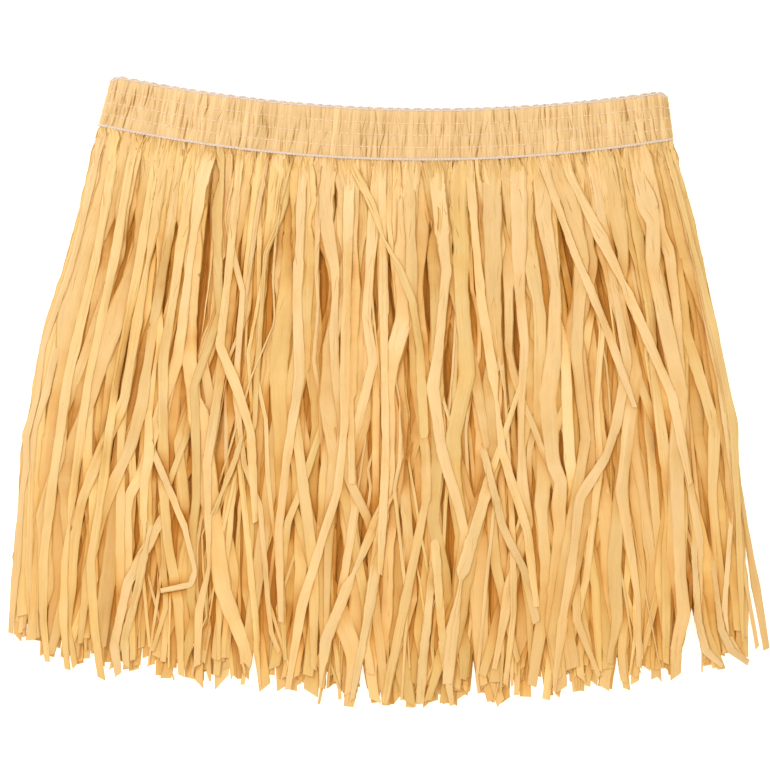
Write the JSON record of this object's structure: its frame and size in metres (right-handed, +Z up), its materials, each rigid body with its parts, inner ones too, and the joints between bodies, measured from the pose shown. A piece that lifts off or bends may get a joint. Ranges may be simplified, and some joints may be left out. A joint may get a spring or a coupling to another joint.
{
  "type": "grass skirt",
  "caption": "Paper-raffia grass skirt lying flat: a gathered, stitched elastic waistband with front and back layers of cut hanging strands, worn round the waist.",
  "frame": {"origin": "middle of the skirt's plan, on the surface that it lies on", "axes": "+X across the skirt, +Y from hem to waist, +Z up from the surface, out of the skirt's front"},
  "size_m": [0.4908, 0.411, 0.013],
  "materials": {
    "raffia": "matte paper raffia, straw coloured",
    "raffia_inner": "matte paper raffia, deeper straw colour",
    "thread": "matte cotton thread, off-white"
  },
  "bodies": {
    "root": {"band_front": "raffia", "band_back": "raffia", "fringe_front_loose": "raffia", "fringe_front_outer": "raffia", "fringe_front_inner": "raffia_inner", "fringe_back_inner": "raffia_inner", "fringe_back_outer": "raffia"}
  },
  "joints": []
}
